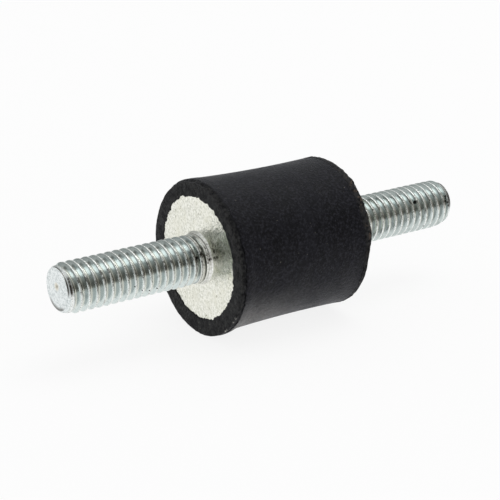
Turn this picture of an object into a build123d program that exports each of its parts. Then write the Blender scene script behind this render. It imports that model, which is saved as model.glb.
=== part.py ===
"""Bobbin vibration mount: a rubber barrel bonded between two steel inserts.

Each insert is one cold-headed piece, a round flange with a threaded stud on its
middle. The rubber is moulded round both flanges and holds them apart, so the two
studs are joined by rubber alone. The common axis of the studs is X. The origin is
on it, at the middle of the barrel. Lengths are in millimetres.
"""

import os

from build123d import *

# Rubber barrel, a little waisted: it swells towards each end, where a moulded lip runs round it
barrel_diameter = 18.0
barrel_length = 18.4
waist_depth = 0.07
near_swell = 0.22
far_swell = 0.05
near_lip_height = 0.45
far_lip_height = 0.17
lip_width = 0.4
lip_blend = 0.3

# Rubber round the flange: its wall, and how proud of the bare steel it stands
rim_wall = 1.4
face_recess = 0.1

# Flange, the disc that the rubber grips
flange_thickness = 2.0
flange_chamfer = 0.27

# Stud with the major diameter of an M6 thread
stud_diameter = 6.0
stud_length = 18.7
base_flare = 0.4
base_length = 0.85
tip_chamfer = 0.5
dimple_diameter = 0.9
dimple_depth = 0.12

# Distances from the middle of the barrel along the axis
rim_x = barrel_length / 2
face_x = rim_x - face_recess
flange_back_x = face_x - flange_thickness
tip_x = face_x + stud_length

# Radii about the axis
barrel_radius = barrel_diameter / 2
flange_radius = barrel_radius - rim_wall
bare_face_radius = flange_radius - flange_chamfer
stud_radius = stud_diameter / 2
base_radius = stud_radius + base_flare
dimple_radius = dimple_diameter / 2

# Section planes: X runs outward along the axis and Y is the distance from it
near_section = Plane(origin=(0, 0, 0), x_dir=(-1, 0, 0), z_dir=(0, 0, -1))
far_section = Plane(origin=(0, 0, 0), x_dir=(1, 0, 0), z_dir=(0, 0, 1))

os.makedirs("parts", exist_ok=True)

# Inserts: the flange, the blend under the head, the stud and its chamfered tip
inserts = []
for name, section_plane in (("near_insert", near_section), ("far_insert", far_section)):
    with BuildPart() as insert:
        with BuildSketch(section_plane):
            with BuildLine():
                flange = Polyline(
                    (tip_x - dimple_depth, 0),
                    (flange_back_x, 0),
                    (flange_back_x, bare_face_radius),
                    (flange_back_x + flange_chamfer, flange_radius),
                    (face_x - flange_chamfer, flange_radius),
                    (face_x, bare_face_radius),
                    (face_x, base_radius),
                )
                shank = Line(
                    (face_x + base_length, stud_radius),
                    (tip_x - tip_chamfer, stud_radius),
                )
                TangentArc(shank @ 0, flange @ 1, tangent=(-1, 0))
                Polyline(
                    shank @ 1,
                    (tip_x, stud_radius - tip_chamfer),
                    (tip_x, dimple_radius),
                    flange @ 0,
                )
            make_face()
        revolve(axis=Axis.X)
    insert.part.label = name
    inserts.append(insert.part)
    export_step(insert.part, f"parts/{name}.step")

# Rubber body
with BuildPart() as rubber_body:
    with BuildSketch(far_section):
        with BuildLine():
            ends = []
            for side, swell, lip_height in (
                (-1, near_swell, near_lip_height),
                (1, far_swell, far_lip_height),
            ):
                lip_radius = barrel_radius + lip_height
                end = Polyline(
                    (0, 0),
                    (side * rim_x, 0),
                    (side * rim_x, lip_radius),
                    (side * (rim_x - lip_width), lip_radius),
                    (side * (rim_x - lip_width - lip_blend), barrel_radius + swell),
                )
                ends.append(end)
            ThreePointArc(ends[0] @ 1, (0, barrel_radius - waist_depth), ends[1] @ 1)
        make_face()
    revolve(axis=Axis.X)
    # The rim round each flange stands a little proud of the bare steel face
    for section_plane in (near_section, far_section):
        with BuildSketch(section_plane):
            with Locations((face_x, 0)):
                Rectangle(face_recess, bare_face_radius, align=Align.MIN)
        revolve(axis=Axis.X, mode=Mode.SUBTRACT)
    # The flanges leave their own shape in the rubber that is moulded round them
    for insert_part in inserts:
        add(insert_part, mode=Mode.SUBTRACT)
rubber_body.part.label = "rubber_body"
export_step(rubber_body.part, "parts/rubber_body.step")
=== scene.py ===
import math

import bmesh
import bpy
import numpy as np
from mathutils import Matrix, Vector


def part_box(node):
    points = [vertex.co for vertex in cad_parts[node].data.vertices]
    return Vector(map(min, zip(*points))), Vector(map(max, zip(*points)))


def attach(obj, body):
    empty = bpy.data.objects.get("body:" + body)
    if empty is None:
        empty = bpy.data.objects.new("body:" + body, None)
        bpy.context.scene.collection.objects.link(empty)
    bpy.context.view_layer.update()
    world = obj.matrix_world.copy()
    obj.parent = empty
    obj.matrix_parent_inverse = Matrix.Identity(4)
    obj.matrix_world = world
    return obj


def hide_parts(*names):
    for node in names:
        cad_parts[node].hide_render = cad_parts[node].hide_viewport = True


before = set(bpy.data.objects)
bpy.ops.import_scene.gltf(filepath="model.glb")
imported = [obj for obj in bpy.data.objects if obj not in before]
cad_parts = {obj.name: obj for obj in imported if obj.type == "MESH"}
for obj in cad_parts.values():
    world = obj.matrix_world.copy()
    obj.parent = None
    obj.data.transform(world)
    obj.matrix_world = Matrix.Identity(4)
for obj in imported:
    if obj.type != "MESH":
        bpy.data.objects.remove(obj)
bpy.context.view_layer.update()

MM = 0.001
SEED = 11
FULL_TURN = 2 * math.pi
TINY = 1e-9

# Points nearer than this, in metres, become one, and edges sharper than this stay sharp
MERGE_DISTANCE = 2e-7
SHARP_ANGLE = math.radians(38)

# Lengths are in mm along X, the common axis of the studs, or out from it. Angles run round it
# from +Y over the top. Four numbers are a window: where something starts, where it is full,
# where it stops being full and where it ends. Two numbers are where it starts and where it is
# full. TURN is in degrees round the axis, and GAP is a distance from the stud's tip or from the
# flange's face.

# Camera: its turn and height about the barrel's middle, its offset and its distance
VIEW_AZIMUTH = -35.14
VIEW_ELEVATION = 19.34
VIEW_RIGHT = -1.371
VIEW_UP = -0.852
VIEW_DISTANCE = 198.8
FOCAL_PIXELS = 1662.3
PHOTO_PIXELS = 500
SENSOR_MM = 36.0
CLIP_START = 0.01
CLIP_END = 20

# Thread, M6 with a 1 mm pitch
PITCH = 1.0
CREST_RADIUS = 2.97
CREST_WIDTH = 0.17
ROOT_DEPTH = 0.56
ROOT_BLEND = 0.14
LEAST_BLEND = 0.01
CREST_BLEND = 0.12
LEAD_BLEND = 0.04
FLANK_SLOPE = math.tan(math.radians(60))
APEX_DEPTH = FLANK_SLOPE * (PITCH - CREST_WIDTH) / 2
LAND_WAVE = 0.012
FLANK_WAVE = 0.01
SHOULDER_HEIGHT = 0.016
SHOULDER_REACH = 0.05
CREST_PHASE = {"near_insert": 0.205, "far_insert": 0.93}
HALF_PITCH_ROWS = (0.0, 0.03, 0.055, 0.075, 0.09, 0.107, 0.127, 0.15,
                   0.19, 0.25, 0.31, 0.36, 0.395, 0.43, 0.455, 0.48)
TURN_STEPS = 132
SPARE_TURNS = 2

# Where the thread's masks lie: the blank's skin, the part of it that the lead cuts, the roots'
# tint and the flared base
SKIN_EDGE = (-0.01, 0.03)
LEAD_CUT = (0.0, 0.05)
LEAD_CUT_SKIN = 0.6
ROOT_TINT = (0.34, 0.0)
BASE_GAP = (1.5, 0.8)

# Run-out of the thread on the flared base
RUN_OUT_START = 2.2
RUN_OUT_END = 0.12
RUN_OUT_POWER = 0.7
NECK_DEPTH = 0.07
NECK_GAP = (0.2, 0.8, 1.5, 3.0)
DIE_MARK_DEPTH = 0.07
DIE_MARK_REACH = 0.07
DIE_MARK_GAP = (0.1, 0.3, 1.4, 1.9)

# Painted shade and painted dark reflection on the threads, in dark lines and patches; and dark specks.
# PLACE is measured along the axis, from the crest.
ROOT_LINE = (0.09, 0.02)
ROOT_LINE_GAP = (0.1, 0.3, 1.6, 2.6)
ROOT_LINE_REST = 0.3
FINE_LINE_STRENGTH = 0.6
FINE_LINE_PLACE = (0.2, 0.235, 0.245, 0.28)
FINE_LINE_GAP = (0.25, 0.4, 1.5, 2.0)
CREST_LINE_STRENGTH = 0.3
CREST_LINE_PLACE = (0.08, 0.11, 0.13, 0.19)
CREST_LINE_TURN = (60, 80, 128, 150)
PAINTED_SPOT_STRENGTH = 0.6
PAINTED_SPOT_PLACE = (0.2, 0.28, 0.4, 0.5)
PAINTED_SPOT_TURN = (90, 95, 101, 109)
# Where the trailing flank is painted darker, as shade in the grooves
TRAILING_PLACE = (0.08, 0.12, 0.42, 0.49)
FAR_FLANK_STRENGTH = 0.22
FAR_FLANK_PLACE = (0.1, 0.16)
FAR_FLANK_TURN = (158, 172, 262, 285)
FIRST_CREST_GAP = (0.22, 0.3, 0.45, 0.6)
FIRST_CREST_TURN = (132, 146, 170, 184)
SPECK_BASE_GAP = (-0.4, -0.1, 1.8, 3.2)
SPECK_TIP_GAP = (0.15, 0.28, 0.7, 1.1)
SPECK_CREST_STRENGTH = 0.75
SPECK_CREST_PLACE = (0.2, 0.1)
SPECK_TURN = (122, 142, 172, 184)

# Single marks on the threads: place along the axis, distance from it, angle in degrees and
# size, and the share of the size that is wholly dark
MARK_CORE = 0.75
MARKS = (
    (22.03, 2.7, 143.4, 0.26),
    (23.5, 2.9, 216.5, 0.12),
    (24.87, 2.9, 177.0, 0.12),
    (-19.47, 2.9, 190.6, 0.13),
    (-17.21, 2.9, 187.0, 0.13),
    (-18.38, 2.9, 206.0, 0.11),
    (-17.3, 2.9, 212.5, 0.11),
    (-16.32, 2.9, 211.0, 0.11),
)

# Stud tip: its flat, its rounded edge, and the lead that the first crests grow along
TIP_FLAT_RADIUS = 2.39
TIP_FLAT_SHIFT = 0.25
TIP_FLAT_ANGLE = math.radians(112)
TIP_FLAT_ROWS = 10
TIP_EDGE_RADIUS = 2.7
TIP_EDGE_LENGTH = 0.3
TIP_EDGE_POWER = 14
TIP_EDGE_ROWS = (0.015, 0.035, 0.06, 0.1, 0.15, 0.21, 0.26)
TIP_DROOP = 0.08
LEAD_SLOPE = 0.4
LEAD_SLOPE_SWING = 0.16
LEAD_GROOVE_SLOPE = 1.1
# The crescent and the tip line are painted shade on the tip's rounded edge
CRESCENT_STRENGTH = 0.9
CRESCENT_SHARE = (0.84, 0.97)
CRESCENT_GAP = (0.1, 0.03)
CRESCENT_TURN = (222, 245, 300, 330)
TIP_LINE_TURN = (62, 78, 168, 186)
TIP_LINE_GAP = (0.0, 0.03, 0.15, 0.24)

# Stub mark of the heading tool, from its middle out: depth, radius and painted shade
DIMPLE_RISE = 0.43
DIMPLE_RADIUS = 0.42
DIMPLE_ROWS = (
    (0.10, 0.0, 0.8),
    (0.09, 0.06, 0.7),
    (0.04, 0.16, 0.3),
    (0.025, 0.3, 0.1),
    (0.0, DIMPLE_RADIUS, 0.0),
)


def node_ends_mm(name):
    low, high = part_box(name)
    return [c / MM for c in low], [c / MM for c in high]


insert_low, insert_high = node_ends_mm("far_insert")
rubber_high = node_ends_mm("rubber_body")[1]
RIM_X = rubber_high[0]
LIP_RADIUS = rubber_high[2]
TIP_X = insert_high[0]
FLANGE_BACK_X = insert_low[0]
FLANGE_RADIUS = insert_high[2]
FACE_RECESS = 0.1
FACE_X = RIM_X - FACE_RECESS
FLANGE_CHAMFER = 0.27
VISIBLE_CHAMFER = 0.12
VISIBLE_FACE_RADIUS = FLANGE_RADIUS - VISIBLE_CHAMFER
BARE_FACE_RADIUS = FLANGE_RADIUS - FLANGE_CHAMFER
RIM_WALL = 1.4
BARREL_RADIUS = FLANGE_RADIUS + RIM_WALL
BASE_FLARE = 0.24
BASE_LENGTH = 0.8
FACE_ROWS = 20
# Where the stud's dark olive reflection is painted on the face, beside the flare
FACE_REFLECTION_LEAST = 0.4
FACE_REFLECTION_RADIUS = (5.4, 3.8)
FACE_REFLECTION_TURN = (118, 140, 172, 200)

# Rubber body
BODY_STEPS = 600
WAIST_DEPTH = 0.07
MIDDLE_RADIUS = BARREL_RADIUS - WAIST_DEPTH
SWELL = {-1: 0.22, 1: 0.05}
BEAD_HEIGHT = 0.14
BEAD_SPAN = (-6.9, -8.1)
BARREL_SAG = 0.045
BARREL_SAG_SLOPE = 0.009
NEAR_END_SAG = 0.13
NEAR_END_SPAN = (-7.0, -8.4)
BARREL_ROWS = 44
BARREL_MARGIN = 0.32
NEAR_LIP_SAG = 0.22
FAR_LIP_HEIGHT = 0.15
FAR_LIP_SAG = 0.12
LIP_WIDTH = 0.45
LIP_ROUNDING = 0.03
LIP_DIP = 0.08
LIP_ROUGHNESS = 0.05
LIP_RAGGEDNESS = 0.13
RIM_SWELL = 0.02
RIM_LUMP = 0.012
RIM_ROWS = 11
TORN_DEPTH = 0.24
UNDERCUT_DEPTH = 0.24
UNDERCUT_LEAST = 0.08
UNDERCUT_TURN = (118, 165, 228, 250)
FRINGE_REACH = 0.6
FRINGE_TURN = (86, 114, 166, 190)
# Painted reflection of the white floor: the barrel's lower side is paler, more so towards the near end
PAINTED_SHEEN_TURN = (190, 254, 266, 310)
PAINTED_SHEEN_SPAN = (3.0, -8.6)

# Pale flecks on the near lip: angle and half width, in degrees, and the share of the width that
# is wholly pale
FLECK_CORE = 0.3
FLECKS = ((213.0, 1.0), (217.0, 0.6), (229.0, 0.6), (231.5, 1.0))

# Studio, in metres and degrees: the floor and the backdrop, the tent, the card and the lamp
FLOOR_Z = -LIP_RADIUS * MM
FLOOR_REACH = 3.0
FLOOR_WHITE = 0.93
BACKDROP_WHITE = 0.985
BACKDROP_SHARE = 0.87
SKY_LEVEL = 0.8
TENT_RADIUS = 1.5
TENT_TOP = 74
TENT_COLUMNS = 120
TENT_ROWS = 34
TENT_GLOW = 0.38
TENT_TOP_GLOW = 0.6
TENT_PALE = (6, 40)
FRONT_AZIMUTH = -60
FRONT_WIDTH = (95, 25)
FRONT_HEIGHT = (58, 14)
FRONT_GLOW = 0.165
CARD_Y = -0.056
CARD_SIDES = (-0.05, 0.03)
CARD_FOOT_GLOW = 0.7
CARD_MIDDLE = -0.002
CARD_TOP = 0.012
SOFTBOX_PLACE = (0.3, -0.03, 0.85)
SOFTBOX_SIZE = (0.62, 0.62)
SOFTBOX_POWER = 2.2


# Helpers

def smoothstep(low, high, value):
    t = np.clip((value - low) / (high - low), 0, 1)
    return t * t * (3 - 2 * t)


def smooth_min(a, b, reach):
    h = np.clip(0.5 + 0.5 * (b - a) / reach, 0, 1)
    return b * (1 - h) + a * h - reach * h * (1 - h)


def smooth_max(a, b, reach):
    return -smooth_min(-a, -b, reach)


def window(value, start, full, full_end, end):
    """1 between full and full_end, fading to 0 at start and end."""
    return smoothstep(start, full, value) * smoothstep(end, full_end, value)


def ring_noise(rng, knots, angles):
    """Random values between -1 and 1 at even knots round the circle, joined by straight runs."""
    values = rng.uniform(-1, 1, knots)
    values = np.append(values, values[0])
    return np.interp(angles / FULL_TURN, np.linspace(0, 1, knots + 1), values)


class Rings:
    """Rings of points along the axis, with a radius, a lift and masks at every angle."""

    def __init__(self, steps, masks):
        self.angles = np.linspace(0, FULL_TURN, steps + 1)
        self.degrees = np.degrees(self.angles)
        self.xs, self.radii, self.lifts, self.materials = [], [], [], []
        self.masks = {key: [] for key in masks}

    def add(self, x, radius, lift=0.0, material=0, **masks):
        for rows, value in ((self.xs, x), (self.radii, radius), (self.lifts, lift)):
            rows.append(self.spread(value))
        for key, rows in self.masks.items():
            rows.append(self.spread(masks.get(key, 0.0)))
        self.materials.append(material)

    def spread(self, value):
        return np.broadcast_to(value, self.angles.shape).astype(float)

    def reverse_from(self, count):
        for rows in (self.xs, self.radii, self.lifts, *self.masks.values()):
            rows[count:] = rows[count:][::-1]

    def build(self, name):
        """A closed skin over the rings, which start and end in a point on the axis."""
        radius = np.array(self.radii)
        y = radius * np.cos(self.angles)
        z = radius * np.sin(self.angles) + np.array(self.lifts)
        points = np.stack([np.array(self.xs), y, z], axis=-1).reshape(-1, 3) * MM
        rows, columns = radius.shape
        first = (np.arange(rows - 1)[:, None] * columns + np.arange(columns - 1)[None, :]).ravel()
        quads = np.stack([first, first + 1, first + columns + 1, first + columns], axis=1)
        mesh = bpy.data.meshes.new(name)
        mesh.from_pydata(points.tolist(), [], quads.tolist())
        for key, values in self.masks.items():
            layer = mesh.attributes.new(key, "FLOAT", "POINT")
            layer.data.foreach_set("value", np.array(values).astype(np.float32).ravel())
        between = [max(pair) for pair in zip(self.materials[:-1], self.materials[1:])]
        mesh.polygons.foreach_set("material_index", np.repeat(between, columns - 1))
        close_skin(mesh)
        piece = bpy.data.objects.new(name, mesh)
        bpy.context.scene.collection.objects.link(piece)
        return piece


def close_skin(mesh):
    """Joins the seam and the ends, and shades all but the sharp edges smooth."""
    skin = bmesh.new()
    skin.from_mesh(mesh)
    bmesh.ops.remove_doubles(skin, verts=skin.verts, dist=MERGE_DISTANCE)
    bmesh.ops.recalc_face_normals(skin, faces=skin.faces)
    for face in skin.faces:
        face.smooth = True
    skin.to_mesh(mesh)
    skin.free()
    mesh.set_sharp_from_angle(angle=SHARP_ANGLE)


# Materials

class Nodes:
    """A short way to write a material's nodes."""

    def __init__(self, name):
        self.material = bpy.data.materials.new(name)
        self.material.use_nodes = True
        self.tree = self.material.node_tree
        self.shader = self.tree.nodes["Principled BSDF"]
        self.coordinates = self.add("ShaderNodeTexCoord").outputs["Object"]

    def add(self, kind, settings=None, **inputs):
        node = self.tree.nodes.new(kind)
        for key, value in (settings or {}).items():
            setattr(node, key, value)
        for key, value in inputs.items():
            self.set(node.inputs[key], value)
        return node

    def set(self, socket, value):
        if isinstance(value, bpy.types.NodeSocket):
            self.tree.links.new(value, socket)
        else:
            socket.default_value = value

    def surface(self, values):
        """Sets the shader's own sockets by name."""
        for key, value in values.items():
            self.set(self.shader.inputs[key], value)

    def noise(self, scale, detail, roughness, vector=None):
        node = self.add("ShaderNodeTexNoise", Scale=scale, Detail=detail, Roughness=roughness,
                        Vector=vector or self.coordinates)
        return node.outputs["Fac"]

    def axes(self):
        return self.add("ShaderNodeSeparateXYZ", Vector=self.coordinates).outputs

    def stretch(self, x, y, z):
        node = self.add("ShaderNodeMapping", Vector=self.coordinates, Scale=(x, y, z))
        return node.outputs["Vector"]

    def remap(self, value, low, high, to_low=0.0, to_high=1.0):
        node = self.add("ShaderNodeMapRange", {"interpolation_type": "SMOOTHSTEP"}, Value=value)
        node.inputs["From Min"].default_value = low
        node.inputs["From Max"].default_value = high
        node.inputs["To Min"].default_value = to_low
        node.inputs["To Max"].default_value = to_high
        return node.outputs["Result"]

    def math(self, operation, a, b):
        node = self.add("ShaderNodeMath", {"operation": operation})
        self.set(node.inputs[0], a)
        self.set(node.inputs[1], b)
        return node.outputs["Value"]

    def plus(self, a, b):
        return self.math("ADD", a, b)

    def times(self, a, b):
        return self.math("MULTIPLY", a, b)

    def larger(self, a, b):
        return self.math("MAXIMUM", a, b)

    def mix(self, factor, a, b):
        node = self.add("ShaderNodeMix", {"data_type": "RGBA"})
        self.set(node.inputs["Factor"], factor)
        self.set(node.inputs["A"], a)
        self.set(node.inputs["B"], b)
        return node.outputs["Result"]

    def distance(self, place):
        node = self.add("ShaderNodeVectorMath", {"operation": "DISTANCE"})
        self.set(node.inputs[0], self.coordinates)
        self.set(node.inputs[1], place)
        return node.outputs["Value"]

    def mask(self, name):
        return self.add("ShaderNodeAttribute", {"attribute_name": name}).outputs["Fac"]

    def bump(self, height, distance, strength, normal=None):
        node = self.add("ShaderNodeBump", Height=height, Distance=distance, Strength=strength)
        if normal is not None:
            self.set(node.inputs["Normal"], normal)
        return node.outputs["Normal"]


def rgb(red, green, blue):
    return (red, green, blue, 1.0)


# Colours of the rubber
BARREL_DARK = rgb(0.0006, 0.0006, 0.0016)
BARREL_PALE = rgb(0.0024, 0.0024, 0.0046)
BARREL_GRAIN = rgb(0.022, 0.022, 0.029)
BARREL_PAINTED_SHEEN = rgb(0.38, 0.37, 0.355)
BARREL_STREAK = rgb(0.013, 0.013, 0.019)
TORN_DARK = rgb(0.0015, 0.0015, 0.0014)
TORN_PALE = rgb(0.027, 0.027, 0.026)
RUST = rgb(0.085, 0.062, 0.045)
PAINTED_UNDERCUT_SHADE = rgb(0.0008, 0.0008, 0.0008)
PALE_FLECK = rgb(0.62, 0.60, 0.55)
GRIT = rgb(0.13, 0.12, 0.10)
RUBBER_GLOSS = rgb(0.92, 0.93, 1.0)
RUBBER_SHEEN = rgb(0.9, 0.92, 1.0)

# Colours of the threads
FLANK = rgb(0.605, 0.68, 0.672)
ROOT = rgb(0.74, 0.75, 0.67)
DRAWN_LINE = rgb(0.78, 0.83, 0.79)
TARNISH = rgb(0.36, 0.40, 0.385)
TRAILING_FLANK_SHADE = rgb(0.49, 0.52, 0.525)
SKIN_DARK = rgb(0.35, 0.35, 0.33)
SKIN_PALE = rgb(0.98, 1.0, 0.98)
SKIN_PATCH = rgb(0.20, 0.18, 0.15)
FLARE_DARK = rgb(0.66, 0.67, 0.61)
FLARE_PALE = rgb(1.0, 1.0, 0.98)
THREAD_PAINTED_SHADE_AND_SPECKS = rgb(0.055, 0.05, 0.042)
BLACK_MARK = rgb(0.012, 0.011, 0.01)

# Colours of the flange's face and of the tip
FACE_DARK = rgb(0.62, 0.63, 0.55)
FACE_PALE = rgb(0.89, 0.89, 0.82)
FACE_BLOTCH = rgb(0.70, 0.70, 0.58)
FACE_CLOUD = rgb(0.76, 0.755, 0.64)
FACE_PIT = rgb(0.36, 0.36, 0.28)
FACE_PAINTED_OLIVE = rgb(0.50, 0.53, 0.35)
FACE_PAINTED_REFLECTION = rgb(0.10, 0.10, 0.07)
TIP_DARK = rgb(0.56, 0.61, 0.61)
TIP_PALE = rgb(0.90, 0.94, 0.94)
TIP_CLOUD = rgb(0.68, 0.74, 0.75)
TIP_STRAW = rgb(0.80, 0.74, 0.60)
TIP_PAINTED_SHADE = rgb(0.13, 0.125, 0.115)

# Colours of the studio
WHITE = rgb(1, 1, 1)
CARD_COOL = rgb(0.98, 1.0, 0.99)
CARD_WARM = rgb(1.0, 0.93, 0.82)


def rubber_material():
    """Matt black moulded rubber: bluish and finely grained on the barrel, coarser on the torn rim."""
    n = Nodes("moulded_rubber")
    rim = n.mask("rim")
    mottle = n.noise(380, 5, 0.62)
    grain = n.noise(3300, 4, 0.7)
    streaks = n.noise(1.0, 3, 0.6, n.stretch(900, 60, 60))
    side = n.mix(n.remap(mottle, 0.35, 0.7), BARREL_DARK, BARREL_PALE)
    side = n.mix(n.remap(grain, 0.45, 0.65, 0.0, 0.7), side, BARREL_GRAIN)
    # Painted reflection of the white floor, pale and grainy on the barrel's lower side
    dust = n.times(n.mask("dust"), n.remap(grain, 0.3, 0.62, 0.35, 1.0))
    side = n.mix(dust, side, BARREL_PAINTED_SHEEN)
    side = n.mix(n.remap(streaks, 0.5, 0.75, 0.0, 0.3), side, BARREL_STREAK)
    torn = n.noise(1900, 4, 0.72)
    face = n.mix(n.remap(torn, 0.38, 0.62), TORN_DARK, TORN_PALE)
    colour = n.mix(rim, side, face)
    rusty = n.times(n.mask("fringe"), n.remap(n.noise(2300, 3, 0.6), 0.5, 0.68, 0.0, 0.8))
    colour = n.mix(rusty, colour, RUST)
    # Painted shade: near black in the undercut below the lip, where its shadow falls
    colour = n.mix(n.mask("crack"), colour, PAINTED_UNDERCUT_SHADE)
    flecks = n.times(n.mask("fleck"), n.remap(grain, 0.42, 0.52))
    colour = n.mix(flecks, colour, PALE_FLECK)
    grit = n.remap(n.noise(3100, 1, 0.4), 0.775, 0.81)
    fine = n.bump(grain, 0.0001, 1.0)
    n.surface({
        "Base Color": n.mix(grit, colour, GRIT),
        "Roughness": n.plus(n.remap(mottle, 0.3, 0.7, 0.44, 0.58), n.times(rim, 0.2)),
        "Specular IOR Level": 0.15,
        "Specular Tint": RUBBER_GLOSS,
        "Sheen Weight": 0.14,
        "Sheen Tint": RUBBER_SHEEN,
        "Sheen Roughness": 0.35,
        "Normal": n.bump(torn, 0.00012, n.times(rim, 0.7), fine),
    })
    return n.material


def drawn_lines(n):
    """Fine lines that the dies drew along the helix, from a noise that turns with the groove."""
    x, y, z = (n.times(axis, 300) for axis in n.axes())
    across = n.plus(n.mask("groove_cos"), y)
    down = n.plus(n.mask("groove_sin"), z)
    along = n.add("ShaderNodeCombineXYZ", X=across, Y=down, Z=x).outputs["Vector"]
    return n.noise(3.6, 3, 0.6, along)


def add_marks(n, colour):
    """The single dark marks, each a small patch about its own place."""
    for x, radius, degrees, size in MARKS:
        turn = math.radians(degrees)
        place = Vector((x, radius * math.cos(turn), radius * math.sin(turn))) * MM
        mark = n.remap(n.distance(place), size * MM, MARK_CORE * size * MM)
        colour = n.mix(mark, colour, BLACK_MARK)
    return colour


def plated_material():
    """Bright zinc: drawn smooth along the rolled flanks, cyan towards the crests and straw in the
    roots, and grained where the blank's blasted skin is left on the crests and the flare."""
    n = Nodes("zinc_thread")
    blasted = n.mask("blasted")
    base = n.mask("base")
    grain = n.noise(5200, 3, 0.7)
    patches = n.noise(1300, 3, 0.6)
    cloud = n.noise(420, 4, 0.6)
    lines = drawn_lines(n)

    flank = n.mix(n.remap(n.mask("root"), 0.25, 0.95), FLANK, ROOT)
    flank = n.mix(n.remap(lines, 0.35, 0.68, 0.0, 0.5), flank, DRAWN_LINE)
    flank = n.mix(n.remap(n.noise(1250, 4, 0.7), 0.55, 0.67, 0.0, 0.45), flank, TARNISH)
    # Painted shade: the hidden trailing flanks are darker, and so are the grooves that reflect them
    flank = n.mix(n.times(n.mask("trailing"), 0.8), flank, TRAILING_FLANK_SHADE)
    skin = n.mix(n.remap(grain, 0.34, 0.52), SKIN_DARK, SKIN_PALE)
    skin = n.mix(n.remap(patches, 0.58, 0.68, 0.0, 0.55), skin, SKIN_PATCH)
    flare = n.mix(n.remap(grain, 0.34, 0.6), FLARE_DARK, FLARE_PALE)
    colour = n.mix(blasted, flank, n.mix(base, skin, flare))
    # Painted shade and painted dark reflection on the threads, laid over their own colour
    shade_amount = n.times(n.mask("stain"), n.remap(patches, 0.36, 0.52, 0.6, 1.0))
    # Dark specks, only on the side to the front
    darkened = n.times(n.mask("spots"), n.remap(n.noise(1900, 3, 0.65), 0.5, 0.6))
    colour = n.mix(n.larger(shade_amount, darkened), colour, THREAD_PAINTED_SHADE_AND_SPECKS)

    smooth = n.plus(n.remap(cloud, 0.3, 0.7, 0.14, 0.2), n.remap(lines, 0.4, 0.7, 0.0, 0.06))
    rough = n.plus(smooth, n.times(blasted, n.remap(base, 0.0, 1.0, 0.28, 0.14)))
    grained = n.bump(grain, 0.00004, n.times(blasted, 0.8))
    drawn = n.bump(lines, 0.00003, 0.3, grained)
    n.surface({
        "Base Color": add_marks(n, colour),
        "Metallic": n.remap(n.times(base, blasted), 0.0, 1.0, 1.0, 0.9),
        "Roughness": rough,
        "Normal": n.bump(n.noise(2600, 4, 0.6), 0.00001, 0.3, drawn),
    })
    return n.material


def blasted_face_material():
    """The flange's bare face: a pale warm grain with dark pits, mottled enough to break its mirroring,
    and with the stud's dark olive reflection painted on it beside the flare."""
    n = Nodes("blasted_face")
    spots = n.mask("spots")
    grain = n.noise(3100, 4, 0.7)
    blotch = n.noise(1300, 4, 0.65)
    cloud = n.noise(330, 3, 0.5)
    colour = n.mix(n.remap(grain, 0.34, 0.62), FACE_DARK, FACE_PALE)
    colour = n.mix(n.remap(blotch, 0.5, 0.7, 0.0, 0.4), colour, FACE_BLOTCH)
    colour = n.mix(n.remap(cloud, 0.42, 0.7, 0.0, 0.5), colour, FACE_CLOUD)
    colour = n.mix(n.remap(n.noise(2900, 2, 0.5), 0.65, 0.73, 0.0, 0.9), colour, FACE_PIT)
    # Painted reflection: the stud's dark olive mirror image beside the flare
    olive = n.times(spots, n.remap(n.noise(750, 4, 0.62), 0.42, 0.6, 0.0, 0.6))
    colour = n.mix(olive, colour, FACE_PAINTED_OLIVE)
    painted_reflection = n.times(spots, n.remap(n.noise(1700, 4, 0.7), 0.51, 0.63))
    waves = n.bump(blotch, 0.00016, 0.7)
    n.surface({
        "Base Color": n.mix(painted_reflection, colour, FACE_PAINTED_REFLECTION),
        "Metallic": 1.0,
        "Roughness": n.remap(blotch, 0.35, 0.65, 0.08, 0.18),
        "Normal": n.bump(grain, 0.00003, 0.4, waves),
    })
    return n.material


def blasted_tip_material():
    """The stud's tip: a cold, even grain, with straw and painted shade in the stub mark, and painted
    shade as a crescent and as dark lines along the rounded edge."""
    n = Nodes("blasted_tip")
    grain = n.noise(4300, 4, 0.72)
    cloud = n.noise(700, 3, 0.5)
    colour = n.mix(n.remap(grain, 0.36, 0.6), TIP_DARK, TIP_PALE)
    colour = n.mix(n.remap(cloud, 0.45, 0.7, 0.0, 0.35), colour, TIP_CLOUD)
    colour = n.mix(n.remap(n.mask("base"), 0.2, 0.9, 0.0, 0.8), colour, TIP_STRAW)
    # Painted shade: the stub mark's middle, a crescent on the lower edge and a line on the upper edge
    shade_amount = n.times(n.mask("stain"), n.remap(grain, 0.3, 0.55, 0.6, 1.0))
    n.surface({
        "Base Color": n.mix(shade_amount, colour, TIP_PAINTED_SHADE),
        "Metallic": 1.0,
        "Roughness": n.remap(cloud, 0.3, 0.7, 0.32, 0.42),
        "Normal": n.bump(grain, 0.00003, 0.45),
    })
    return n.material


# Inserts. The numbers give the order of their material slots.

THREAD, FACE, TIP = range(3)
INSERT_MATERIALS = (plated_material(), blasted_face_material(), blasted_tip_material())
INSERT_MASKS = ("blasted", "base", "root", "trailing", "stain", "spots", "groove_cos", "groove_sin")


def blank_radius(outward):
    """Radius of the stud before its thread was rolled: straight, necked, then flared into the flange."""
    flare_arc = (BASE_LENGTH ** 2 + BASE_FLARE ** 2) / (2 * BASE_FLARE)
    base_gap = outward - FACE_X
    into = np.clip(BASE_LENGTH - base_gap, 0, BASE_LENGTH)
    neck = NECK_DEPTH * window(base_gap, *NECK_GAP)
    return CREST_RADIUS - neck + flare_arc - np.sqrt(flare_arc ** 2 - into ** 2)


def tip_flat_radius(angle):
    """Radius of the tip's flat, which reaches further on its upper side."""
    return TIP_FLAT_RADIUS + TIP_FLAT_SHIFT * np.cos(angle - TIP_FLAT_ANGLE)


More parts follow.
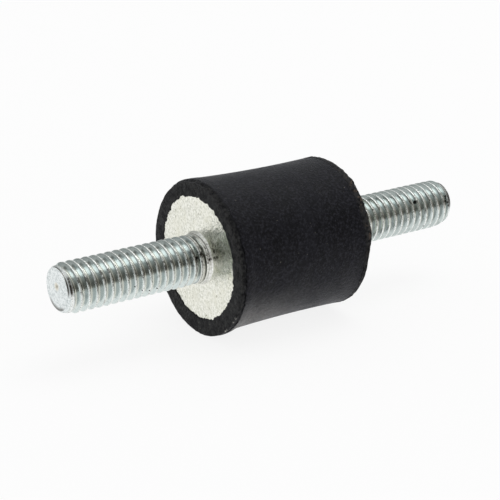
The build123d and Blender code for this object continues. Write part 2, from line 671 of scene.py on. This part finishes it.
def tip_edge_radius(tip_gap, angle):
    """Radius of the tip's rounded edge at a distance from the flat. Its lower side droops inward."""
    share = np.clip(tip_gap / TIP_EDGE_LENGTH, 0, 1)
    rounded = TIP_EDGE_RADIUS * np.maximum(share, TINY) ** (1 / TIP_EDGE_POWER)
    droop = TIP_DROOP * (0.5 - 0.5 * np.sin(angle)) * smoothstep(0, 0.5, share)
    return np.maximum(rounded, tip_flat_radius(angle)) - droop


def lead_radius(tip_gap, angle):
    """How high the first crests reach: least at the tip's edge, and later full on the lower side."""
    slope = LEAD_SLOPE + LEAD_SLOPE_SWING * np.sin(angle)
    return tip_edge_radius(TIP_EDGE_LENGTH, angle) + slope * (tip_gap - TIP_EDGE_LENGTH)


def die_mark(from_crest, base_gap):
    """The groove that the dies' end left along the crest, where the thread runs out."""
    return smoothstep(DIE_MARK_REACH, 0.0, from_crest) * window(base_gap, *DIE_MARK_GAP)


def thread_painted_shade(x, degrees, past_crest, tip_gap, base_gap):
    """Painted shade and painted dark reflection on the threads, from 0 to 1: dark lines in the roots,
    on the run-out and in the dies' marks, before the crests and by the first crests. The painted
    dark spot is on the near stud only, and the painted shade on the lower flank on the far one."""
    from_crest = np.abs(past_crest)
    root_line = smoothstep(*ROOT_LINE, PITCH / 2 - from_crest)
    fine_line = window(from_crest, *FINE_LINE_PLACE) * window(base_gap, *FINE_LINE_GAP)
    crest_line = window(-past_crest, *CREST_LINE_PLACE) * window(degrees, *CREST_LINE_TURN)
    # A painted dark spot, for a dark reflection at the tops of the grooves
    painted_spot = window(-past_crest, *PAINTED_SPOT_PLACE) * window(degrees, *PAINTED_SPOT_TURN) * (x < 0)
    # The far stud's lower flank is painted darker, as shade
    far_flank = smoothstep(*FAR_FLANK_PLACE, from_crest) * window(degrees, *FAR_FLANK_TURN) * (x > 0)
    return np.maximum.reduce((
        root_line * window(base_gap, *ROOT_LINE_GAP),
        ROOT_LINE_REST * root_line,
        die_mark(from_crest, base_gap),
        FINE_LINE_STRENGTH * fine_line,
        CREST_LINE_STRENGTH * crest_line,
        PAINTED_SPOT_STRENGTH * painted_spot,
        FAR_FLANK_STRENGTH * far_flank,
        window(tip_gap, *FIRST_CREST_GAP) * window(degrees, *FIRST_CREST_TURN),
    ))


def front_dark_specks(degrees, from_crest, tip_gap, base_gap):
    """Dark specks: by the base, by the tip and along the crests, only on the side to the front."""
    ends = np.maximum(window(base_gap, *SPECK_BASE_GAP), window(tip_gap, *SPECK_TIP_GAP))
    crest = SPECK_CREST_STRENGTH * smoothstep(*SPECK_CREST_PLACE, from_crest)
    return window(degrees, *SPECK_TURN) * np.maximum(ends, crest)


def unevenness(x, angle):
    """Slow waves along and round the stud, between -1 and 1, so that no two turns are alike."""
    return 0.5 * np.sin(11.3 * x + 3 * angle) + 0.5 * np.sin(7.1 * x - 5 * angle + 1.3)


def thread_surface(x, angle, phase):
    """Radius and masks of the rolled thread at a signed distance x and an angle."""
    outward = np.abs(x)
    tip_gap = TIP_X - outward
    base_gap = outward - FACE_X
    turn = x / PITCH - phase - angle / FULL_TURN
    past_crest = (turn - np.round(turn)) * PITCH
    from_crest = np.abs(past_crest)
    from_groove = PITCH / 2 - from_crest
    wave = unevenness(x, angle)
    land = blank_radius(outward) + LAND_WAVE * wave
    lead = lead_radius(tip_gap, angle)

    depth = smoothstep(RUN_OUT_END, RUN_OUT_START, base_gap) ** RUN_OUT_POWER
    wedge = land - APEX_DEPTH * depth + FLANK_SLOPE * (from_groove - FLANK_WAVE * wave)
    first_grooves = lead - LEAD_GROOVE_SLOPE * (tip_gap - TIP_EDGE_LENGTH)
    bottom = np.maximum(land - ROOT_DEPTH * depth, first_grooves)
    groove = smooth_max(wedge, bottom, ROOT_BLEND * depth + LEAST_BLEND)
    from_land = np.abs(wedge - land) / FLANK_SLOPE
    shoulder = SHOULDER_HEIGHT * smoothstep(SHOULDER_REACH, 0.0, from_land)
    radius = smooth_min(groove, land + shoulder, CREST_BLEND)
    radius = radius - DIE_MARK_DEPTH * die_mark(from_crest, base_gap)
    cut_by_lead = smoothstep(*LEAD_CUT, radius - lead)
    radius = smooth_min(radius, lead, LEAD_BLEND)

    degrees = np.degrees(angle)
    masks = {
        "blasted": np.maximum(smoothstep(*SKIN_EDGE, wedge - land), LEAD_CUT_SKIN * cut_by_lead),
        "base": smoothstep(*BASE_GAP, base_gap),
        "root": smoothstep(*ROOT_TINT, from_groove),
        "trailing": window(past_crest, *TRAILING_PLACE),
        "stain": thread_painted_shade(x, degrees, past_crest, tip_gap, base_gap),
        "spots": front_dark_specks(degrees, from_crest, tip_gap, base_gap),
        "groove_cos": np.cos(FULL_TURN * turn),
        "groove_sin": np.sin(FULL_TURN * turn),
    }
    return radius, masks


def add_tip(rings, side):
    """The stub mark of the heading tool, the flat and its rounded edge."""
    angles = rings.angles
    # Painted shade in the stub mark's middle, in a crescent on the lower edge and a line on the upper
    crescent = window(rings.degrees, *CRESCENT_TURN)
    line = window(rings.degrees, *TIP_LINE_TURN)
    for depth, radius, stain in DIMPLE_ROWS:
        x = side * (TIP_X - depth)
        rings.add(x, radius, DIMPLE_RISE, TIP, stain=stain, base=1 - radius)
    for share in np.linspace(0.15, 1, TIP_FLAT_ROWS):
        radius = DIMPLE_RADIUS + (tip_flat_radius(angles) - DIMPLE_RADIUS) * share
        stain = CRESCENT_STRENGTH * crescent * smoothstep(*CRESCENT_SHARE, share)
        rings.add(side * TIP_X, radius, DIMPLE_RISE * (1 - share) ** 2, TIP, stain=stain)
    for tip_gap in TIP_EDGE_ROWS:
        beside_flat = crescent * smoothstep(*CRESCENT_GAP, tip_gap)
        stain = np.maximum(beside_flat, line * window(tip_gap, *TIP_LINE_GAP))
        rings.add(side * (TIP_X - tip_gap), tip_edge_radius(tip_gap, angles), 0.0, TIP, stain=stain)


def add_thread(rings, side, phase):
    """The thread, row by row along the helix, from the tip to the flange."""
    first_turn = math.floor((-TIP_X if side < 0 else FACE_X) / PITCH - SPARE_TURNS)
    turns = math.ceil((TIP_X - FACE_X) / PITCH + 2 * SPARE_TURNS)
    in_turn = sorted(set(HALF_PITCH_ROWS) | {0.5} | {1 - u for u in HALF_PITCH_ROWS[1:]})
    starts = np.array([first_turn + turn + u for turn in range(turns) for u in in_turn])
    thread_end = TIP_X - TIP_EDGE_LENGTH
    for start in starts[::-side]:
        x = PITCH * (start + phase + rings.angles / FULL_TURN)
        x = side * np.clip(side * x, FACE_X, thread_end)
        radius, masks = thread_surface(x, rings.angles, phase)
        at_tip = np.abs(x) >= thread_end - TINY
        radius = np.where(at_tip, tip_edge_radius(TIP_EDGE_LENGTH, rings.angles), radius)
        rings.add(x, radius, 0.0, THREAD, **masks)


def add_flange(rings, side):
    """The bare face, its edge in the rubber, and the back."""
    base_radius = float(rings.radii[-1].max())
    # The band where the stud's dark reflection is painted on the face
    darkened = window(rings.degrees, *FACE_REFLECTION_TURN)
    for radius in np.linspace(base_radius + 0.1, VISIBLE_FACE_RADIUS, FACE_ROWS):
        inward = smoothstep(*FACE_REFLECTION_RADIUS, radius)
        spots = darkened * (FACE_REFLECTION_LEAST + (1 - FACE_REFLECTION_LEAST) * inward)
        rings.add(side * FACE_X, radius, 0.0, FACE, spots=spots)
    for x, radius in (
        (FACE_X - VISIBLE_CHAMFER, FLANGE_RADIUS),
        (FLANGE_BACK_X + FLANGE_CHAMFER, FLANGE_RADIUS),
        (FLANGE_BACK_X, BARE_FACE_RADIUS),
        (FLANGE_BACK_X, 0.0),
    ):
        rings.add(side * x, radius, 0.0, FACE)


def build_insert(name, side):
    """One insert as one closed skin, from the middle of its tip to the middle of its back."""
    rings = Rings(TURN_STEPS, INSERT_MASKS)
    add_tip(rings, side)
    add_thread(rings, side, CREST_PHASE[name])
    add_flange(rings, side)
    piece = rings.build(name + "_threaded")
    for material in INSERT_MATERIALS:
        piece.data.materials.append(material)
    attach(piece, "root")
    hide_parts(name)


# Rubber body

def barrel_radius(x):
    """Moulded barrel: waisted in the middle, swollen towards each end, and with a near bead."""
    near = BARREL_RADIUS + SWELL[-1] - MIDDLE_RADIUS
    far = BARREL_RADIUS + SWELL[1] - MIDDLE_RADIUS
    t = x / (RIM_X - LIP_WIDTH)
    bead = BEAD_HEIGHT * smoothstep(*BEAD_SPAN, x)
    return MIDDLE_RADIUS + 0.5 * (near + far) * t ** 2 + 0.5 * (far - near) * t + bead


def barrel_lift(x):
    """The barrel hangs a little below the axis, most of all at its far end and by the near lip."""
    return -BARREL_SAG - BARREL_SAG_SLOPE * x - NEAR_END_SAG * smoothstep(*NEAR_END_SPAN, x)


def add_pocket(rings, side):
    """The rubber's inside, from the middle of the flange's back to the edge of its face."""
    for x, radius in (
        (FLANGE_BACK_X, 0.0),
        (FLANGE_BACK_X, BARE_FACE_RADIUS),
        (FLANGE_BACK_X + FLANGE_CHAMFER, FLANGE_RADIUS),
        (FACE_X - VISIBLE_CHAMFER, FLANGE_RADIUS),
    ):
        rings.add(side * x, radius)
    rings.add(side * FACE_X, VISIBLE_FACE_RADIUS + 0.005, rim=1.0)


def add_lip_back(rings, side, outer, lip_lift, ragged, undercut):
    """The lip's ragged back, and the undercut between it and the barrel."""
    lip_back = RIM_X - LIP_WIDTH + LIP_RAGGEDNESS * ragged
    behind = barrel_radius(side * (RIM_X - LIP_WIDTH))
    back_lift = barrel_lift(side * (RIM_X - LIP_WIDTH))
    lip_edge = outer - LIP_ROUNDING
    lowest_edge = behind - LIP_DIP
    edge_radius = np.maximum(lip_edge, lowest_edge)
    edge_lift = np.where(lip_edge > lowest_edge, lip_lift, back_lift)
    notch = UNDERCUT_DEPTH * undercut
    # The undercut is also painted near black, as shade
    crack = np.minimum(1.0, 1.5 * undercut)
    rings.add(side * lip_back, edge_radius, 0.5 * (edge_lift + back_lift), rim=0.7)
    for back, radius, masks in (
        (0.02, edge_radius - 0.7 * notch, {"rim": 0.5, "crack": crack}),
        (0.08, behind - 0.02 - notch, {"rim": 0.4, "crack": crack}),
        (0.14, behind - 0.02 - 0.4 * notch, {"crack": crack}),
        (0.17, behind - 0.01, {}),
    ):
        rings.add(side * (lip_back - back), radius, back_lift, **masks)


def add_end(rings, rng, side, lip_radius, lip_lift, undercut, fringe, flecks):
    """One end, from the middle of the flange's back out to the start of the barrel."""
    def noise(knots):
        return ring_noise(rng, knots, rings.angles)

    torn = 0.25 * noise(67) + 0.35 * noise(131)
    torn = torn + 0.4 * noise(263) + 0.15 * noise(19)
    inner = np.minimum(BARE_FACE_RADIUS + 0.02 + TORN_DEPTH * torn, VISIBLE_FACE_RADIUS)
    rough_edge = 0.4 * noise(71) + 0.6 * noise(190)
    outer = lip_radius - LIP_ROUGHNESS + LIP_ROUGHNESS * rough_edge
    swell = RIM_SWELL * noise(83)
    ragged = 0.6 * noise(97) + 0.6 * noise(211)
    reach = FRINGE_REACH * fringe * (0.6 + 0.25 * noise(43) + 0.15 * ragged)
    pale = 0 * rings.angles
    for at, width in flecks:
        away = np.abs(rings.degrees - at)
        pale = np.maximum(pale, smoothstep(width, FLECK_CORE * width, away))

    # The pocket, and the rim's wall and face
    add_pocket(rings, side)
    for x, radius in (
        (FACE_X + 0.004, inner - 0.01),
        (FACE_X + 0.05, inner),
        (RIM_X - 0.015 + 0.5 * swell, inner + 0.06),
    ):
        rings.add(side * x, radius, rim=1.0)
    for share in np.linspace(0.12, 0.9, RIM_ROWS):
        radius = inner + (outer - inner) * share
        proud = RIM_X - 0.012 + swell + RIM_LUMP * noise(173) + reach * share ** 3
        rings.add(side * proud, radius, lip_lift * share, rim=1.0, fringe=fringe * share ** 2)

    # The lip's edge: how far back from the rim, how far in, and how much it follows the fringe
    for back, inset, lean, masks in (
        (0.02, 0.02, 1.0, {"rim": 1.0, "fleck": pale}),
        (0.06, 0.0, 1.0, {"rim": 1.0, "fleck": pale}),
        (0.25, 0.01, 0.5, {"rim": 0.85}),
    ):
        x = RIM_X - back + lean * reach
        rings.add(side * x, outer - inset, lip_lift, fringe=fringe, **masks)
    add_lip_back(rings, side, outer, lip_lift, ragged, undercut)


def build_rubber():
    """The rubber as one closed skin. Its random draws go on from the near end to the far one."""
    rng = np.random.default_rng(SEED)
    rings = Rings(BODY_STEPS, ("rim", "fringe", "crack", "fleck", "dust"))
    angles = rings.angles
    none = 0 * angles
    broken = 0.5 + 0.25 * ring_noise(rng, 101, angles) + 0.5 * ring_noise(rng, 233, angles)
    undercut = window(rings.degrees, *UNDERCUT_TURN) * np.clip(broken, UNDERCUT_LEAST, 1)
    add_end(rings, rng, -1, LIP_RADIUS - NEAR_LIP_SAG, -NEAR_LIP_SAG, undercut, none, FLECKS)
    barrel_end = RIM_X - LIP_WIDTH - BARREL_MARGIN
    for x in np.linspace(-barrel_end, barrel_end, BARREL_ROWS):
        # The painted floor sheen, on the lower side and stronger towards the near end
        dust = window(rings.degrees, *PAINTED_SHEEN_TURN) * float(smoothstep(*PAINTED_SHEEN_SPAN, x))
        rings.add(x, barrel_radius(x), barrel_lift(x), dust=dust)
    near_count = len(rings.xs)
    fringe = window(rings.degrees, *FRINGE_TURN)
    add_end(rings, rng, 1, BARREL_RADIUS + FAR_LIP_HEIGHT, -FAR_LIP_SAG, none, fringe, ())
    rings.reverse_from(near_count)

    piece = rings.build("rubber_barrel")
    piece.data.materials.append(rubber_material())
    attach(piece, "root")
    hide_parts("rubber_body")


# Studio

def seen_directly(tree):
    """1 for camera, glossy and transmission rays, and 0 for the rays that only carry light."""
    path = tree.nodes.new("ShaderNodeLightPath")
    total = path.outputs["Is Camera Ray"]
    for other in ("Is Glossy Ray", "Is Transmission Ray"):
        join = tree.nodes.new("ShaderNodeMath")
        join.operation = "MAXIMUM"
        tree.links.new(total, join.inputs[0])
        tree.links.new(path.outputs[other], join.inputs[1])
        total = join.outputs["Value"]
    return total


def add_stage_mesh(name, points, quads, material):
    """A mesh of the studio, which is no part of the object."""
    mesh = bpy.data.meshes.new(name)
    mesh.from_pydata(points, [], quads)
    mesh.materials.append(material)
    stage = bpy.data.objects.new(name, mesh)
    bpy.context.scene.collection.objects.link(stage)
    return stage


def build_floor():
    """A white floor. Part of its white is the backdrop's own, so its shadow is a soft one."""
    n = Nodes("white_floor")
    n.surface({
        "Base Color": rgb(FLOOR_WHITE, FLOOR_WHITE, FLOOR_WHITE),
        "Roughness": 1.0,
        "Specular IOR Level": 0.0,
    })
    glow = n.add("ShaderNodeEmission", Color=WHITE, Strength=BACKDROP_WHITE)
    mixed = n.add("ShaderNodeMixShader")
    path = n.add("ShaderNodeLightPath")
    mirrored = n.larger(path.outputs["Is Glossy Ray"], path.outputs["Is Transmission Ray"])
    share = n.times(path.outputs["Is Camera Ray"], BACKDROP_SHARE)
    n.set(mixed.inputs[0], n.larger(share, mirrored))
    n.set(mixed.inputs[1], n.shader.outputs["BSDF"])
    n.set(mixed.inputs[2], glow.outputs["Emission"])
    n.set(n.tree.nodes["Material Output"].inputs["Surface"], mixed.outputs["Shader"])
    ends = (-FLOOR_REACH, FLOOR_REACH)
    corners = [(x, y, FLOOR_Z) for y in ends for x in ends]
    add_stage_mesh("floor", corners, [(0, 1, 3, 2)], n.material)


def card_material(name):
    """A glow of the strength in one mask, tinted from cool to warm by the other."""
    n = Nodes(name)
    tint = n.mix(n.mask("dusk"), CARD_COOL, CARD_WARM)
    glow = n.add("ShaderNodeEmission", Color=tint, Strength=n.mask("glow"))
    n.set(n.tree.nodes["Material Output"].inputs["Surface"], glow.outputs["Emission"])
    return n.material


def add_card(name, points, quads, glow, dusk):
    """A card that the metal reflects, and that neither shades the object nor shows itself."""
    card = add_stage_mesh(name, points, quads, card_material(name))
    for key, values in (("glow", glow), ("dusk", dusk)):
        card.data.attributes.new(key, "FLOAT", "POINT").data.foreach_set("value", values)
    card.visible_camera = False
    card.visible_diffuse = False
    card.visible_shadow = False
    card.visible_transmission = False


def build_tent():
    """A grey cloth tent round the studio, dim where the photographer stands and paler overhead."""
    points, glow, dusk, quads = [], [], [], []
    for elevation in np.linspace(0, TENT_TOP, TENT_ROWS):
        height = TENT_RADIUS * math.tan(math.radians(elevation))
        level = TENT_GLOW + (TENT_TOP_GLOW - TENT_GLOW) * float(smoothstep(*TENT_PALE, elevation))
        for azimuth in np.linspace(0, 360, TENT_COLUMNS, endpoint=False):
            turn = math.radians(azimuth)
            points.append((TENT_RADIUS * math.cos(turn), TENT_RADIUS * math.sin(turn), FLOOR_Z + height))
            from_front = abs((azimuth - FRONT_AZIMUTH + 180) % 360 - 180)
            dim = float(smoothstep(*FRONT_WIDTH, from_front) * smoothstep(*FRONT_HEIGHT, elevation))
            glow.append(level + (FRONT_GLOW - level) * dim)
            dusk.append(dim)
    for row in range(TENT_ROWS - 1):
        low, high = row * TENT_COLUMNS, (row + 1) * TENT_COLUMNS
        for j in range(TENT_COLUMNS):
            k = (j + 1) % TENT_COLUMNS
            quads.append((low + j, low + k, high + k, high + j))
    add_card("grey_tent", points, quads, glow, dusk)


def build_dark_card():
    """A low card before the part, pale at its foot, for the dark band along the threads."""
    points = [(x, CARD_Y, z) for z in (FLOOR_Z, CARD_MIDDLE, CARD_TOP) for x in CARD_SIDES]
    glow = [CARD_FOOT_GLOW] * 2 + [FRONT_GLOW] * 4
    add_card("dark_card", points, [(0, 1, 3, 2), (2, 3, 5, 4)], glow, [1.0] * 6)


def build_softbox():
    """A broad, soft lamp above the part."""
    light = bpy.data.lights.new("top_softbox", "AREA")
    light.shape = "RECTANGLE"
    light.size, light.size_y = SOFTBOX_SIZE
    light.energy = SOFTBOX_POWER
    lamp = bpy.data.objects.new("top_softbox", light)
    lamp.location = SOFTBOX_PLACE
    lamp.rotation_mode = "QUATERNION"
    lamp.rotation_quaternion = (-Vector(SOFTBOX_PLACE)).to_track_quat("-Z", "Y")
    bpy.context.scene.collection.objects.link(lamp)


def build_world():
    """White wherever it is seen, and a little dimmer where it only lights the part."""
    world = bpy.data.worlds.new("studio")
    world.use_nodes = True
    tree = world.node_tree
    strength = tree.nodes.new("ShaderNodeMapRange")
    strength.inputs["To Min"].default_value = SKY_LEVEL
    strength.inputs["To Max"].default_value = 1.0
    tree.links.new(seen_directly(tree), strength.inputs["Value"])
    background = tree.nodes["Background"]
    background.inputs["Color"].default_value = WHITE
    tree.links.new(strength.outputs["Result"], background.inputs["Strength"])
    bpy.context.scene.world = world


def build_camera():
    """The photo's camera, as it was fitted to the outlines in the photo."""
    azimuth = math.radians(VIEW_AZIMUTH)
    elevation = math.radians(VIEW_ELEVATION)
    back = Vector((math.sin(azimuth) * math.cos(elevation),
                   -math.cos(azimuth) * math.cos(elevation),
                   math.sin(elevation)))
    right = Vector((math.cos(azimuth), math.sin(azimuth), 0))
    up = back.cross(right)
    camera = bpy.data.objects.new("camera", bpy.data.cameras.new("camera"))
    camera.data.sensor_width = SENSOR_MM
    camera.data.lens = SENSOR_MM * FOCAL_PIXELS / PHOTO_PIXELS
    camera.data.clip_start = CLIP_START
    camera.data.clip_end = CLIP_END
    place = (right * VIEW_RIGHT + up * VIEW_UP + back * VIEW_DISTANCE) * MM
    turn = Matrix((right, up, back)).transposed().to_4x4()
    camera.matrix_world = Matrix.Translation(place) @ turn
    bpy.context.scene.collection.objects.link(camera)
    bpy.context.scene.camera = camera


build_insert("near_insert", -1)
build_insert("far_insert", 1)
build_rubber()
build_floor()
build_tent()
build_dark_card()
build_softbox()
build_world()
build_camera()
bpy.context.scene.view_settings.view_transform = "Standard"
